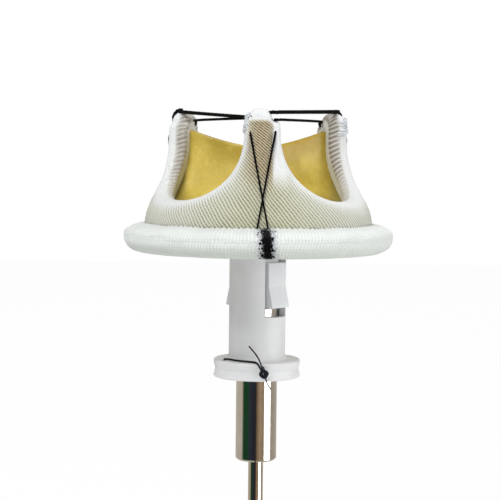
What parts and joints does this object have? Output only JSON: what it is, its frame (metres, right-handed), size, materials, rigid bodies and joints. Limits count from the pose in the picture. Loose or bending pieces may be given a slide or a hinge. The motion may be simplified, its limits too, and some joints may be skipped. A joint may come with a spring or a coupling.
{
  "type": "pericardial heart valve",
  "caption": "Stented tissue heart valve with curved cusps and a cloth sewing ring, held by sutures on its snap-fit holder and screwed to a steel handle.",
  "frame": {"origin": "on the valve's axis, in the plane of the sewing ring's inflow face", "axes": "+Z along the valve's axis from the inflow side to the post tips, -Y through the front post; the handle points to -Z"},
  "size_m": [0.036, 0.0361, 0.0624],
  "materials": {
    "ring_cloth": "knitted polyester, fine vertical ribs",
    "silicone": "soft silicone",
    "marker_thread": "black stitched thread",
    "skirt_twill": "twill cloth, off-white with olive ribs",
    "lining_cloth": "woven cloth",
    "stent_metal": "satin cobalt-chromium sheet",
    "wire_metal": "polished round wire",
    "tissue": "fixed bovine pericardium, wet gloss",
    "suture_black": "braided black suture",
    "suture_dark": "braided dark suture",
    "holder_white": "machined white acetal",
    "plunger_white": "machined white acetal, bluish",
    "adapter_steel": "polished stainless steel",
    "rod_steel": "polished stainless steel"
  },
  "bodies": {
    "handle": {"handle_adapter": "adapter_steel", "threaded_stud": "adapter_steel", "handle_rod": "rod_steel"},
    "plunger": {"holder_plunger": "plunger_white"},
    "valve": {"cross_sutures_front": "suture_black", "cross_sutures_rear_left": "suture_black", "cross_sutures_rear_right": "suture_black", "holder_hub": "holder_white", "holder_sleeve": "holder_white", "hub_ties": "suture_dark", "ring_core": "silicone", "ring_cover": "ring_cloth", "ring_markers": "marker_thread", "skirt_cloth": "skirt_twill", "stent_band": "stent_metal", "stent_lining": "lining_cloth", "tie_knot": "suture_dark", "tie_suture": "suture_dark", "tie_tails": "suture_dark", "tip_sutures_front_left": "suture_black", "tip_sutures_front_right": "suture_black", "wireform": "wire_metal", "wireform_cover": "skirt_twill"},
    "leaflet_front_left": {"leaflet_front_left": "tissue"},
    "leaflet_front_right": {"leaflet_front_right": "tissue"},
    "leaflet_rear": {"leaflet_rear": "tissue"}
  },
  "joints": [
    {"name": "handle_release", "type": "slide", "parent": "handle", "child": "plunger", "axis": [0, 0, 1], "range_m": [0, 0.016]},
    {"name": "latch_play", "type": "slide", "parent": "plunger", "child": "valve", "axis": [0, 0, 1], "range_m": [0, 0.0012]},
    {"name": "leaflet_front_left_flex", "type": "hinge", "parent": "valve", "child": "leaflet_front_left", "pos_m": [-0.00606, -0.0035, 0.0075], "axis": [0.5, -0.866, 0], "range_deg": [0, 50], "deforming": ["leaflet_front_left"]},
    {"name": "leaflet_front_right_flex", "type": "hinge", "parent": "valve", "child": "leaflet_front_right", "pos_m": [0.00606, -0.0035, 0.0075], "axis": [0.5, 0.866, 0], "range_deg": [0, 50], "deforming": ["leaflet_front_right"]},
    {"name": "leaflet_rear_flex", "type": "hinge", "parent": "valve", "child": "leaflet_rear", "pos_m": [0, 0.007, 0.0075], "axis": [-1, 0, 0], "range_deg": [0, 50], "deforming": ["leaflet_rear"]}
  ]
}
